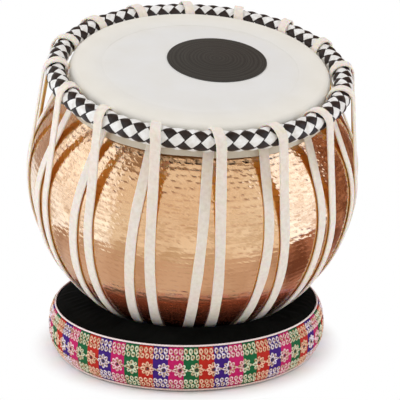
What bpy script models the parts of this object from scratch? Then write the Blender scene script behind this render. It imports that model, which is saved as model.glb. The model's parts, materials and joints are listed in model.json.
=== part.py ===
"""Bayan, the bass drum of a tabla pair, leaning on its ring cushion.

A hammered copper bowl carries a stack of goatskins, which a plaited leather hoop and one long
leather strap pull down over the rim.  The strap runs between the hoop and a small ring under the
bowl.  The round underside of the bowl sits in a round seat in the cushion, so the drum can be
leant towards the player.  Lengths are in metres, Z is up and the floor is at z = 0.
"""
import math

import bpy
import bmesh
from mathutils import Vector

MM = 0.001

# Clearances
GAP = 0.3 * MM
WRAP_GAP = 0.8 * MM
SEAT_GAP = 1.0 * MM
SEWING_GAP = 0.5 * MM
FLOOR_CLEARANCE = 13.3 * MM

# Copper bowl, measured from the centre of its round underside, the pivot of the lean
BELLY_RADIUS = 147.0 * MM
LIP_RADIUS = 109.8 * MM
LIP_OVERHANG = 2.2 * MM
LIP_DEPTH = 6.0 * MM
LIP_BEVEL = 2.2 * MM
NECK_DROP = 21.2 * MM
BOWL_WALL = 2.0 * MM

# Skins, from the lip outwards: under ring, playing head, upper ring
HEAD_HEIGHT = 101.6 * MM
SKIN = 0.9 * MM
UNDER_RING_WIDTH = 20.0 * MM
UPPER_RING_WIDTH = 24.0 * MM
UNDER_SKIRT = 19.0 * MM
HEAD_SKIRT = 22.5 * MM
UPPER_SKIRT = 26.0 * MM
SKIRT_BEND = 16.0 * MM
SKIRT_FLARE = 22.0

# Black tuning spot, set off the middle of the head
SPOT_RADIUS = 44.0 * MM
SPOT_OFFSET_X = 17.8 * MM
SPOT_OFFSET_Y = 11.2 * MM
SPOT_LAYERS = 4
SPOT_LAYER = 0.4 * MM
SPOT_STEP = 6.0 * MM

# Plaited hoop: leather thongs woven round a core
HOOP_DROP = 5.5 * MM
PLAIT_RADIUS = 8.9 * MM
PLAIT_ROWS = 8
PLAIT_PITCHES = 64
PLAIT_TURN = 20.0
THONG_WIDTH = 5.2 * MM
THONG = 1.4 * MM
THONG_RISE = 2.7 * MM
CORE_CLEARANCE = 0.5 * MM

# Strap that laces the head to the ring under the bowl
HOLES = 16
FIRST_HOLE = 13.8
STRAP_WIDTH = 8.8 * MM
STRAP_END_WIDTH = 6.0 * MM
STRAP = 1.8 * MM
STRAP_SPREAD_TOP = 3.5
KUNDAL_TURN_START = 290.0
KUNDAL_TURN_END = 90.0

# Ring under the bowl
KUNDAL_RADIUS = 46.0 * MM
KUNDAL_THICKNESS = 6.0 * MM

# Ring cushion; its side is fullest at mid height and drawn in at the seams above and below
CUSHION_OFFSET_X = -8.2 * MM
CUSHION_OFFSET_Y = -6.0 * MM
CUSHION_RADIUS = 123.5 * MM
CUSHION_MIDDLE = 21.5 * MM
CUSHION_HEIGHT = 43.8 * MM
CUSHION_FULLNESS = 2.5
SEAM_PULL = 4.5 * MM
SEAM_HEIGHT = 40.8 * MM
SEAM_ROUND = 2.7 * MM
FOOT_PULL = 6.0 * MM
FOOT_HEIGHT = 4.0 * MM
WELL_RADIUS = 55.0 * MM
WELL_CORNER = 2.5 * MM
CREST_RADIUS = 93.0 * MM
CREST_ROUND = 7.0 * MM
CREST_RISE = 1.6 * MM
TRIM = 1.4 * MM
PIPING_THICKNESS = 2.4 * MM

# Pose of the drum and fineness of the facets
LEAN = 14.8
ROUND_FACETS = 40
SMALL_FACETS = 32
UNDERSIDE_STEPS = 5
SHOULDER_STEPS = 4
SEAT_STEPS = 3
SIDE_STEPS = 4
INSIDE_STEPS = 4
INSIDE_SHOULDER_STEPS = 3
CORD_FACETS = 6
TURN_STEP = 40.0
SHARP_ANGLE = 40.0
BEVEL_SLOPE = 45.0

# Sizes that follow from those above
LAYER_STEP = SKIN + GAP
LIP_HEIGHT = HEAD_HEIGHT - 2 * LAYER_STEP
NECK_RADIUS = LIP_RADIUS - LIP_OVERHANG
NECK_ANGLE = math.acos(NECK_RADIUS / BELLY_RADIUS)
SHOULDER_RISE = (HEAD_HEIGHT - NECK_DROP) / math.sin(NECK_ANGLE)
SKIRT_RADIUS = LIP_RADIUS + 3 * LAYER_STEP
HOOP_RADIUS = SKIRT_RADIUS + GAP + STRAP + WRAP_GAP + PLAIT_RADIUS
HOOP_HEIGHT = HEAD_HEIGHT - HOOP_DROP
STRAP_OFFSET = GAP + STRAP / 2
HOOP_WRAP = PLAIT_RADIUS + WRAP_GAP + STRAP / 2
SEAT_RADIUS = BELLY_RADIUS + GAP + STRAP + SEAT_GAP
PIVOT_HEIGHT = SEAT_RADIUS + FLOOR_CLEARANCE
KUNDAL_WRAP = KUNDAL_THICKNESS / 2 + WRAP_GAP + STRAP / 2
KUNDAL_REACH = SEAT_RADIUS - SEAT_GAP - KUNDAL_WRAP - STRAP / 2
KUNDAL_DEPTH = math.sqrt(KUNDAL_REACH ** 2 - KUNDAL_RADIUS ** 2)
BASE_DEPTH = KUNDAL_DEPTH - KUNDAL_WRAP - STRAP_OFFSET
BASE_ANGLE = math.acos(BASE_DEPTH / BELLY_RADIUS)
SEAM_RADIUS = CUSHION_RADIUS - SEAM_PULL


def material(name, red, green, blue, roughness, metallic=0.0):
    made = bpy.data.materials.new(name)
    made.use_nodes = True
    shader = made.node_tree.nodes["Principled BSDF"]
    shader.inputs["Base Color"].default_value = (red, green, blue, 1.0)
    shader.inputs["Roughness"].default_value = roughness
    shader.inputs["Metallic"].default_value = metallic
    return made


def empty(name, location, lean=0.0):
    made = bpy.data.objects.new(name, None)
    bpy.context.scene.collection.objects.link(made)
    made.location = location
    made.rotation_euler.x = math.radians(lean)
    return made


def finish(name, bm, finish_material, parent):
    """Turns a bmesh into a named object with its faces out and smooth shading."""
    bmesh.ops.remove_doubles(bm, verts=bm.verts, dist=1e-6)
    bmesh.ops.recalc_face_normals(bm, faces=bm.faces)
    mesh = bpy.data.meshes.new(name)
    bm.to_mesh(mesh)
    bm.free()
    mesh.shade_smooth()
    mesh.set_sharp_from_angle(angle=math.radians(SHARP_ANGLE))
    mesh.materials.append(finish_material)
    made = bpy.data.objects.new(name, mesh)
    bpy.context.scene.collection.objects.link(made)
    made.parent = parent
    return made


def turned(name, outline, finish_material, parent, facets=ROUND_FACETS):
    """Spins an outline of (radius, height) points about Z; one that ends on the axis is capped."""
    bm = bmesh.new()
    verts = [bm.verts.new((radius, 0.0, height)) for radius, height in outline]
    edges = [bm.edges.new(pair) for pair in zip(verts, verts[1:])]
    if outline[0][0] > 0:
        edges.append(bm.edges.new((verts[-1], verts[0])))
    bmesh.ops.spin(bm, geom=verts + edges, cent=(0, 0, 0), axis=(0, 0, 1), angle=math.tau,
                   steps=facets, use_merge=True)
    return finish(name, bm, finish_material, parent)


def swept(name, sections, rightward, finish_material, parent):
    """Joins sections, each a loop of the same number of corners, into one closed circuit.

    A strip that twists has no flat sides, so its sides are split into triangles.  The splits all
    run the same way across the strip, which keeps its thickness even: rightward says for each edge
    of the section whether the split starts at the edge's first corner.
    """
    bm = bmesh.new()
    loops = [[bm.verts.new(corner) for corner in section] for section in sections]
    for this, following in zip(loops, loops[1:] + loops[:1]):
        for a, starts_first in enumerate(rightward):
            b = (a + 1) % len(this)
            if starts_first:
                bm.faces.new((this[a], this[b], following[b]))
                bm.faces.new((this[a], following[b], following[a]))
            else:
                bm.faces.new((this[a], this[b], following[a]))
                bm.faces.new((this[b], following[b], following[a]))
    return finish(name, bm, finish_material, parent)


def cord_ring(name, radius, height, thickness, finish_material, parent, facets=ROUND_FACETS):
    bpy.ops.mesh.primitive_torus_add(major_radius=radius, minor_radius=thickness / 2,
                                     major_segments=facets, minor_segments=CORD_FACETS)
    made = bpy.context.object
    made.name = made.data.name = name
    made.location.z = height
    made.parent = parent
    made.data.materials.append(finish_material)
    made.data.shade_smooth()
    return made


def steps(start, end, count):
    return [start + (end - start) * k / count for k in range(count + 1)]


def shoulder_point(angle, offset=0.0):
    """A point on the elliptical shoulder, or at an offset outside it; angle 0 is the belly."""
    radius = BELLY_RADIUS * math.cos(angle)
    height = SHOULDER_RISE * math.sin(angle)
    normal = Vector((SHOULDER_RISE * math.cos(angle), BELLY_RADIUS * math.sin(angle))).normalized()
    return Vector((radius, height)) + normal * offset


def underside_point(angle, offset=0.0):
    """A point on the round underside; the angle is measured at the pivot from straight down."""
    reach = BELLY_RADIUS + offset
    return Vector((reach * math.sin(angle), -reach * math.cos(angle)))


def copper_bowl(parent):
    outline = [Vector((0.0, -BASE_DEPTH))]
    outline += [underside_point(a) for a in steps(BASE_ANGLE, math.pi / 2, UNDERSIDE_STEPS)]
    outline += [shoulder_point(a) for a in steps(0.0, NECK_ANGLE, SHOULDER_STEPS)[1:]]
    inner = NECK_RADIUS - BOWL_WALL
    outline += [
        Vector((NECK_RADIUS, LIP_HEIGHT - LIP_DEPTH)),
        Vector((LIP_RADIUS, LIP_HEIGHT - LIP_DEPTH / 2)),
        Vector((LIP_RADIUS, LIP_HEIGHT - LIP_BEVEL)),
        Vector((LIP_RADIUS - LIP_BEVEL, LIP_HEIGHT)),
        Vector((inner + BOWL_WALL / 2, LIP_HEIGHT)),
        Vector((inner, LIP_HEIGHT - BOWL_WALL / 2)),
        Vector((inner, shoulder_point(NECK_ANGLE).y)),
    ]
    outline += [shoulder_point(a, -BOWL_WALL) for a in steps(NECK_ANGLE, 0.0, INSIDE_SHOULDER_STEPS)[:-1]]
    inner_base = math.acos((BASE_DEPTH - BOWL_WALL) / (BELLY_RADIUS - BOWL_WALL))
    outline += [underside_point(a, -BOWL_WALL) for a in steps(math.pi / 2, inner_base, INSIDE_STEPS)]
    outline.append(Vector((0.0, BOWL_WALL - BASE_DEPTH)))
    return turned("copper_bowl", outline, material("hammered copper", 0.72, 0.33, 0.16, 0.28, 1.0), parent)


def lip_layer(offset):
    """The two corners of a layer that is bent over the bevelled lip at an offset from it."""
    slide = offset * math.tan(math.radians(BEVEL_SLOPE / 2))
    return [
        Vector((LIP_RADIUS - LIP_BEVEL + slide, LIP_HEIGHT + offset)),
        Vector((LIP_RADIUS + offset, LIP_HEIGHT - LIP_BEVEL + slide)),
    ]


def skirt_layer(offset, hem):
    """The corners of a layer's skirt, which hangs straight and then splays towards the shoulder."""
    radius = LIP_RADIUS + offset
    flare = math.radians(SKIRT_FLARE)
    bend = HEAD_HEIGHT - SKIRT_BEND + offset * math.tan(flare / 2)
    return [Vector((radius, bend)), Vector((radius + (bend - hem) * math.tan(flare), hem))]


def skin(name, layer, inner_radius, skirt, finish_material, parent):
    """A skin bent over the lip; layer 0 lies on the copper, and an inner radius of 0 is a full head."""
    inside = GAP + layer * LAYER_STEP
    outside = inside + SKIN
    hem = HEAD_HEIGHT - skirt
    outline = [Vector((inner_radius, LIP_HEIGHT + outside))]
    outline += lip_layer(outside)
    outline += skirt_layer(outside, hem)
    outline += reversed(skirt_layer(inside, hem))
    outline += reversed(lip_layer(inside))
    outline.append(Vector((inner_radius, LIP_HEIGHT + inside)))
    return turned(name, outline, finish_material, parent)


def tuning_spot(parent):
    """Paste laid on the head in ever smaller rounds, so its edge climbs in small steps."""
    bottom = HEAD_HEIGHT + GAP
    outline = [Vector((0.0, bottom)), Vector((SPOT_RADIUS, bottom))]
    for layer in range(SPOT_LAYERS):
        radius = SPOT_RADIUS - layer * SPOT_STEP
        height = bottom + (layer + 1) * SPOT_LAYER
        outline.append(Vector((radius, height)))
        if layer < SPOT_LAYERS - 1:
            outline.append(Vector((radius - SPOT_STEP, height)))
    outline.append(Vector((0.0, height)))
    made = turned("syahi_spot", outline, material("black tuning paste", 0.05, 0.05, 0.045, 0.6), parent,
                  SMALL_FACETS)
    made.location.x = SPOT_OFFSET_X
    made.location.y = SPOT_OFFSET_Y
    return made


def plait_frame(hoop_angle, turn):
    """The middle of the plaited hoop at an angle round it, and the way out at a turn round the tube."""
    outwards = Vector((math.cos(hoop_angle), math.sin(hoop_angle), 0.0))
    middle = outwards * HOOP_RADIUS + Vector((0.0, 0.0, HOOP_HEIGHT))
    return middle, outwards * math.cos(turn) + Vector((0.0, 0.0, math.sin(turn)))


def thong(name, hand, strand, finish_material, parent):
    """One thong of the plait, a helix of one hand that goes over and under those of the other.

    It has one section at each crossing, and the rows of crossings round the tube show the thongs
    of the two hands in turn.  The section is a flat strip with a raised back.
    """
    crossings = 2 * PLAIT_PITCHES
    strands = PLAIT_ROWS // 2
    low = PLAIT_RADIUS - THONG - THONG_RISE
    path = []
    for k in range(crossings):
        hoop_angle = math.tau * k / crossings
        turn = hand * math.tau * (k / PLAIT_ROWS + strand / strands) + math.radians(PLAIT_TURN)
        over = k % 2 == (0 if hand > 0 else 1)
        middle, out = plait_frame(hoop_angle, turn)
        path.append((middle + out * (low + (THONG_RISE if over else 0.0)), out))
    sections = []
    for k, (place, out) in enumerate(path):
        along = path[(k + 1) % crossings][0] - path[k - 1][0]
        side = along.cross(out).normalized() * (THONG_WIDTH / 2)
        sections.append((place - side, place + out * THONG, place + side))
    rightward = (hand > 0, hand > 0, hand < 0)
    return swept(name, sections, rightward, finish_material, parent)


def plaited_hoop(parent):
    core_thickness = 2 * (PLAIT_RADIUS - THONG - THONG_RISE - CORE_CLEARANCE)
    rope = material("rope core", 0.45, 0.38, 0.28, 0.9)
    cord_ring("gajra_core_hoop", HOOP_RADIUS, HOOP_HEIGHT, core_thickness, rope, parent)
    white = material("white rawhide thong", 0.86, 0.83, 0.78, 0.55)
    black = material("black leather thong", 0.035, 0.025, 0.022, 0.5)
    for strand in range(PLAIT_ROWS // 2):
        thong(f"gajra_white_thong_{strand + 1}", 1, strand, white, parent)
        thong(f"gajra_black_thong_{strand + 1}", -1, strand, black, parent)


def taut_lean(side):
    """The slope at which a taut strap leaves the hoop and meets the shoulder, by bisection.

    The strap touches the hoop on its outer side (side 1) or its inner side (side -1).  A line with
    a normal at some angle touches an ellipse where both have the same support distance.
    """
    low, high = 0.0, math.pi / 2
    for _ in range(50):
        lean = (low + high) / 2
        hoop = HOOP_RADIUS * math.cos(lean) + HOOP_HEIGHT * math.sin(lean) + side * HOOP_WRAP
        bowl = math.hypot(BELLY_RADIUS * math.cos(lean), SHOULDER_RISE * math.sin(lean)) + STRAP_OFFSET
        if hoop < bowl:
            low = lean
        else:
            high = lean
    return lean


def shoulder_angle(lean):
    """The angle on the shoulder's ellipse at which its normal has this slope."""
    return math.atan2(SHOULDER_RISE * math.sin(lean), BELLY_RADIUS * math.cos(lean))


def bowl_leg(lean):
    """Strap stations from the base up to where the taut span leaves the shoulder, facing outwards."""
    leg = []
    for angle in steps(BASE_ANGLE, math.pi / 2, UNDERSIDE_STEPS):
        leg.append((underside_point(angle, STRAP_OFFSET), Vector((math.sin(angle), -math.cos(angle)))))
    leave = shoulder_angle(lean)
    angles = [a for a in steps(0.0, NECK_ANGLE, SHOULDER_STEPS)[1:] if a < leave]
    for angle in angles + [leave]:
        normal = Vector((SHOULDER_RISE * math.cos(angle), BELLY_RADIUS * math.sin(angle))).normalized()
        leg.append((shoulder_point(angle, STRAP_OFFSET), normal))
    return leg


def wrap(centre, reach, start, end):
    """Strap stations round a hoop or ring, by falling angle in degrees, facing its middle."""
    count = math.ceil((start - end) / TURN_STEP)
    stations = []
    for degrees in steps(start, end, count):
        out = Vector((math.cos(math.radians(degrees)), math.sin(math.radians(degrees))))
        stations.append((centre + out * reach, -out))
    return stations


def spread(stations, start, end):
    """Gives each station its angle round the drum, in proportion to its distance along the strap."""
    travelled = [0.0]
    for (this, _), (following, _) in zip(stations, stations[1:]):
        travelled.append(travelled[-1] + (following - this).length)
    return [(place, face, start + (end - start) * t / travelled[-1])
            for (place, face), t in zip(stations, travelled)]


def strap_round():
    """One of the equal parts of the strap: up to the hoop, over it, down and round the kundal.

    Returns (place, facing, degrees round the drum from the hole), with places as (radius, height).
    """
    hoop = Vector((HOOP_RADIUS, HOOP_HEIGHT))
    ring = Vector((KUNDAL_RADIUS, -KUNDAL_DEPTH))
    top = STRAP_SPREAD_TOP / 2
    bottom = 360.0 / HOLES / 4
    inner_lean = taut_lean(-1)
    outer_lean = taut_lean(1)
    over_hoop = wrap(hoop, HOOP_WRAP, 180 + math.degrees(inner_lean), math.degrees(outer_lean))
    rising = bowl_leg(inner_lean) + over_hoop[:1]
    falling = [(place, -face) for place, face in reversed(bowl_leg(outer_lean))]
    falling = over_hoop[-1:] + falling
    round_ring = wrap(ring, KUNDAL_WRAP, KUNDAL_TURN_START, KUNDAL_TURN_END)
    part = spread(rising, -bottom, -top)
    part += spread(over_hoop, -top, top)[1:-1]
    part += spread(falling, top, bottom)
    part += spread(round_ring, bottom, 3 * bottom)
    return part


def laced_strap(parent):
    """The one strap of the drum, round all the holes of the head, as a closed circuit."""
    part = strap_round()
    path = []
    for hole in range(HOLES):
        for place, face, degrees in part:
            around = math.radians(FIRST_HOLE + hole * 360.0 / HOLES + degrees)
            outwards = Vector((math.cos(around), math.sin(around), 0.0))
            up = Vector((0.0, 0.0, 1.0))
            share = (place.x - KUNDAL_RADIUS) / (BELLY_RADIUS * math.sin(BASE_ANGLE) - KUNDAL_RADIUS)
            width = STRAP_END_WIDTH + (STRAP_WIDTH - STRAP_END_WIDTH) * min(max(share, 0.0), 1.0)
            path.append((outwards * place.x + up * place.y, outwards * face.x + up * face.y, width))
    sections = []
    for k, (place, face, width) in enumerate(path):
        along = path[(k + 1) % len(path)][0] - path[k - 1][0]
        side = along.cross(face).normalized() * (width / 2)
        half = face * (STRAP / 2)
        sections.append((place - side - half, place + side - half, place + side + half, place - side + half))
    rightward = (True, True, False, False)
    return swept("tasma_lace", sections, rightward, material("cream strap leather", 0.84, 0.79, 0.70, 0.6), parent)


def cushion_side():
    """Corners (radius, height) of the full side of the cushion, from the foot up to the upper seam."""
    side = []
    for height in steps(FOOT_HEIGHT, SEAM_HEIGHT, SIDE_STEPS):
        if height > CUSHION_MIDDLE:
            share = (height - CUSHION_MIDDLE) / (SEAM_HEIGHT - CUSHION_MIDDLE)
            pull = SEAM_PULL
        else:
            share = (CUSHION_MIDDLE - height) / (CUSHION_MIDDLE - FOOT_HEIGHT)
            pull = FOOT_PULL
        side.append((CUSHION_RADIUS - pull * share ** CUSHION_FULLNESS, height))
    return side


def cushion(parent):
    """Stuffed velvet ring: its seat is a hollow part of a sphere, struck about the drum's pivot.

    The inner loops are centred under the drum and the outer ones on the ring itself, which the drum
    has pressed a little to one side.
    """
    def seat(radius):
        return PIVOT_HEIGHT - math.sqrt(SEAT_RADIUS ** 2 - radius ** 2)

    crest = seat(CREST_RADIUS) + CREST_RISE
    brow = SEAM_RADIUS - SEAM_ROUND
    inner = [(WELL_RADIUS + WELL_CORNER, 0.0), (WELL_RADIUS, WELL_CORNER)]
    inner += [(radius, seat(radius)) for radius in steps(WELL_RADIUS, CREST_RADIUS, SEAT_STEPS)]
    inner += [(CREST_RADIUS + CREST_ROUND / 3, crest), (CREST_RADIUS + CREST_ROUND, crest)]
    outer = [(brow, CUSHION_HEIGHT)]
    outer += reversed(cushion_side())
    outer.append((CUSHION_RADIUS - FOOT_PULL - FOOT_HEIGHT, 0.0))
    between = ((CREST_RADIUS + CREST_ROUND + brow) / 2, (2 * crest + CUSHION_HEIGHT) / 3)
    loops = [(radius, height, 0.0) for radius, height in inner]
    loops.append((*between, 0.5))
    loops += [(radius, height, 1.0) for radius, height in outer]
    turns = [math.tau * k / ROUND_FACETS for k in range(ROUND_FACETS)]
    bm = bmesh.new()
    rings = []
    for radius, height, share in loops:
        x = share * CUSHION_OFFSET_X
        y = share * CUSHION_OFFSET_Y
        rings.append([bm.verts.new((x + radius * math.cos(a), y + radius * math.sin(a), height)) for a in turns])
    for this, following in zip(rings, rings[1:] + rings[:1]):
        for a in range(ROUND_FACETS):
            b = (a + 1) % ROUND_FACETS
            bm.faces.new((this[a], this[b], following[b], following[a]))
    return finish("cushion_ring", bm, material("black velvet", 0.012, 0.012, 0.014, 0.95), parent)


def trimming(parent):
    """Woven ribbon round the cushion between two lines of piping.

    The upper piping stands on the ribbon's edge and leans on the slope above the seam, and the lower
    one hangs under the ribbon's other edge.
    """
    side = cushion_side()
    outline = [Vector((radius + SEWING_GAP + TRIM, height)) for radius, height in side]
    outline += [Vector((radius + SEWING_GAP, height)) for radius, height in reversed(side)]
    turned("trim_band", outline, material("woven ribbon", 0.55, 0.12, 0.25, 0.7), parent)
    reach = PIPING_THICKNESS / 2 + GAP
    slope = Vector((CUSHION_HEIGHT - SEAM_HEIGHT, SEAM_ROUND)).normalized()
    top_radius = SEAM_RADIUS + reach * (1 - slope.y) / slope.x
    bottom_radius = CUSHION_RADIUS - FOOT_PULL + reach
    piping = material("pale pink piping", 0.85, 0.62, 0.62, 0.7)
    cord_ring("top_piping", top_radius, SEAM_HEIGHT + reach, PIPING_THICKNESS, piping, parent)
    gold = material("pale gold piping", 0.75, 0.55, 0.42, 0.6)
    cord_ring("bottom_piping", bottom_radius, FOOT_HEIGHT - reach, PIPING_THICKNESS, gold, parent)


def build():
    for old in list(bpy.data.objects):
        bpy.data.objects.remove(old, do_unlink=True)
    lean = math.radians(LEAN)
    back_reach = BELLY_RADIUS + GAP + STRAP
    front_reach = HOOP_RADIUS * math.cos(lean) + HOOP_HEIGHT * math.sin(lean) + HOOP_WRAP + STRAP / 2
    forward = (front_reach - back_reach) / 2
    drum = empty("drum_pivot", (0.0, forward, PIVOT_HEIGHT), LEAN)
    floor_under_drum = empty("cushion_seat_centre", (0.0, forward, 0.0))
    cushion_middle = empty("cushion_middle", (CUSHION_OFFSET_X, forward + CUSHION_OFFSET_Y, 0.0))

    copper_bowl(drum)
    hide = material("goatskin", 0.84, 0.83, 0.79, 0.5)
    edge = LIP_RADIUS
    skin("bharti_under_ring", 0, edge - UNDER_RING_WIDTH, UNDER_SKIRT, hide, drum)
    skin("head_skin", 1, 0.0, HEAD_SKIRT, hide, drum)
    skin("kinar_upper_ring", 2, edge - UPPER_RING_WIDTH, UPPER_SKIRT, hide, drum)
    tuning_spot(drum)
    plaited_hoop(drum)
    laced_strap(drum)
    raw = material("twisted rawhide", 0.62, 0.5, 0.36, 0.7)
    cord_ring("kundal_ring", KUNDAL_RADIUS, -KUNDAL_DEPTH, KUNDAL_THICKNESS, raw, drum, SMALL_FACETS)
    cushion(floor_under_drum)
    trimming(cushion_middle)


build()
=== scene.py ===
import json
import math

import bpy
import numpy as np
from mathutils import Matrix, Vector


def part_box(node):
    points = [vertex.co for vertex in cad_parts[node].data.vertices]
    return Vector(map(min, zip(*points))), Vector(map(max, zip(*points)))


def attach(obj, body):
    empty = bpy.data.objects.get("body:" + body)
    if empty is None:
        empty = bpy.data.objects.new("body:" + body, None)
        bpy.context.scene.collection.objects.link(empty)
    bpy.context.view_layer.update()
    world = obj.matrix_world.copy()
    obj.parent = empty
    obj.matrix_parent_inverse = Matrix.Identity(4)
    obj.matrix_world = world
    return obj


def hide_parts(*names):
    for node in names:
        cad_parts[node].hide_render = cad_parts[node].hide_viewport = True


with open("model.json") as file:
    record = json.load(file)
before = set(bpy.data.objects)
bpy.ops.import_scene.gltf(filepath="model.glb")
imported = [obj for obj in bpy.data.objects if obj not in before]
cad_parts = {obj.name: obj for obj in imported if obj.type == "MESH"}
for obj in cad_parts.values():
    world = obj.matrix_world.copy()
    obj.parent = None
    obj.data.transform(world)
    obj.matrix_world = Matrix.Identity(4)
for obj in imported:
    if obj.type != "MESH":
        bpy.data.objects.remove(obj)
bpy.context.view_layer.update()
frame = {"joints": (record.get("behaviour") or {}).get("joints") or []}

mm = 0.001
chance = np.random.default_rng(21)

# the drum is modelled upright about its pivot, then leant into place
tilt = frame["joints"][0]
pivot = Vector(tilt["pos_m"])
lean = math.radians(-tilt["range_deg"][0])
drumPlace = Matrix.Translation(pivot) @ Matrix.Rotation(lean, 4, "X")

# the ring cushion is modelled about the middle of its band, its seat about the pivot
bandLow, bandHigh = (Vector(corner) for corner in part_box("trim_band"))
bandMiddle = (bandLow + bandHigh) / 2
cushionPlace = Matrix.Translation((bandMiddle.x, bandMiddle.y, 0.0))
seatPlace = Matrix.Translation((pivot.x, pivot.y, 0.0))


# looks

def linear(code):
    channels = [int(code[k:k + 2], 16) / 255 for k in (1, 3, 5)]
    return [c / 12.92 if c <= 0.04045 else ((c + 0.055) / 1.055) ** 2.4 for c in channels] + [1.0]


def newMaterial(name, colour, sockets):
    mat = bpy.data.materials.new(name)
    mat.use_nodes = True
    shader = mat.node_tree.nodes["Principled BSDF"]
    shader.inputs["Base Color"].default_value = linear(colour)
    for socket, value in sockets.items():
        shader.inputs[socket].default_value = linear(value) if isinstance(value, str) else value
    return mat


def addNode(mat, kind, inputs=None, stops=None, out=None, **settings):
    # a node with its settings and links; gives its output called out, or else the first it has in use
    node = mat.node_tree.nodes.new("ShaderNode" + kind)
    for key, value in settings.items():
        setattr(node, key, value)
    for key, value in (inputs or {}).items():
        if isinstance(value, bpy.types.NodeSocket):
            mat.node_tree.links.new(value, node.inputs[key])
        else:
            node.inputs[key].default_value = linear(value) if isinstance(value, str) else value
    for k, (place, colour) in enumerate(stops or []):
        ramp = node.color_ramp.elements
        stop = ramp[k] if k < 2 else ramp.new(place)
        stop.position = place
        stop.color = linear(colour)
    if out:
        return node.outputs[out]
    return next(socket for socket in node.outputs if socket.enabled)


def toShader(mat, **outputs):
    shader = mat.node_tree.nodes["Principled BSDF"]
    for socket, output in outputs.items():
        mat.node_tree.links.new(output, shader.inputs[socket.replace("_", " ")])


def drumCoords(mat, shift=(0.0, 0.0, 0.0)):
    # Object coordinates turned back upright about the pivot
    return addNode(mat, "Mapping", {
        "Vector": addNode(mat, "TexCoord", out="Object"),
        "Location": drumPlace @ Vector(shift),
        "Rotation": (lean, 0.0, 0.0),
    }, vector_type="TEXTURE")


# making

def dropSelection():
    bpy.ops.object.select_all(action="DESELECT")


def turnedPiece(name, outline, segments):
    # a plane merged to a point is drawn out along (radius, height) points, then spun about Z
    dropSelection()
    bpy.ops.mesh.primitive_plane_add(size=mm)
    piece = bpy.context.object
    piece.name = name
    piece.data.name = name
    bpy.ops.object.mode_set(mode="EDIT")
    bpy.ops.mesh.merge(type="CENTER")
    bpy.ops.transform.translate(value=(outline[0][0], 0.0, outline[0][1]))
    for (radius, height), (nextRadius, nextHeight) in zip(outline, outline[1:]):
        step = (nextRadius - radius, 0.0, nextHeight - height)
        bpy.ops.mesh.extrude_region_move(TRANSFORM_OT_translate={"value": step})
    bpy.ops.mesh.select_all(action="SELECT")
    bpy.ops.mesh.spin(steps=segments, angle=math.tau, center=(0, 0, 0), axis=(0, 0, 1))
    bpy.ops.object.mode_set(mode="OBJECT")
    closeSeams(piece)
    return piece


def gridPiece(name, columns, rows, shape):
    # a flat grid carried onto shape(u, v), with u along it and v across it, both from 0 to 1
    dropSelection()
    bpy.ops.mesh.primitive_grid_add(x_subdivisions=columns, y_subdivisions=rows, size=1.0)
    piece = bpy.context.object
    piece.name = name
    piece.data.name = name
    flat = readPoints(piece) + 0.5
    writePoints(piece, shape(flat[:, 0], flat[:, 1]))
    closeSeams(piece)
    return piece


def readPoints(piece):
    points = np.empty(len(piece.data.vertices) * 3)
    piece.data.vertices.foreach_get("co", points)
    return points.reshape(-1, 3)


def reachAndAngle(points):
    # distance from the middle line, and the angle round it
    return np.hypot(points[:, 0], points[:, 1]), np.arctan2(points[:, 1], points[:, 0])


def lengthAlong(places):
    # distance travelled along a row of places, up to each of them
    steps = np.linalg.norm(np.diff(places, axis=0), axis=1)
    return np.concatenate([[0.0], np.cumsum(steps)])


def onSection(corners, v):
    # columns of a closed section's corners, at v from 0 to 1 round it
    closed = np.vstack([corners, corners[:1]])
    return [np.interp(v * len(corners), np.arange(len(closed)), column) for column in closed.T]


def writePoints(piece, points):
    piece.data.vertices.foreach_set("co", np.asarray(points).ravel())
    piece.data.update()


def closeSeams(piece):
    bpy.context.view_layer.objects.active = piece
    bpy.ops.object.mode_set(mode="EDIT")
    bpy.ops.mesh.select_all(action="SELECT")
    bpy.ops.mesh.remove_doubles(threshold=0.005 * mm)
    bpy.ops.mesh.normals_make_consistent(inside=False)
    bpy.ops.object.mode_set(mode="OBJECT")


def thicken(piece, thickness, offset):
    wall = piece.modifiers.new("Wall", "SOLIDIFY")
    wall.thickness = thickness
    wall.offset = offset
    bpy.context.view_layer.objects.active = piece
    bpy.ops.object.modifier_apply(modifier=wall.name)


def finishPiece(piece, mat, place, body, replaced, sharp=40):
    dropSelection()
    piece.select_set(True)
    bpy.context.view_layer.objects.active = piece
    bpy.ops.object.shade_smooth_by_angle(angle=math.radians(sharp))
    piece.data.transform(place)
    piece.data.materials.clear()
    piece.data.materials.append(mat)
    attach(piece, body)
    if replaced:
        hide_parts(*replaced)


def polar(radius, angle, height):
    return np.stack([radius * np.cos(angle), radius * np.sin(angle), height], axis=1)


def twistedRing(name, radius, height, thickness, strands, pitch, columns, furrow=0.26):
    # laid cord: strands side by side that turn about the cord once in each pitch
    turns = round(math.tau * radius / pitch)

    def shape(u, v):
        around = u * math.tau
        turn = v * math.tau
        lobes = np.abs(np.cos(strands * (turn - turns * around) / 2))
        reach = thickness / 2 * (1 - furrow + furrow * lobes)
        return polar(radius + reach * np.cos(turn), around, height + reach * np.sin(turn))

    return gridPiece(name, columns, 6 * strands, shape)


# camera, floor and light

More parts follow.
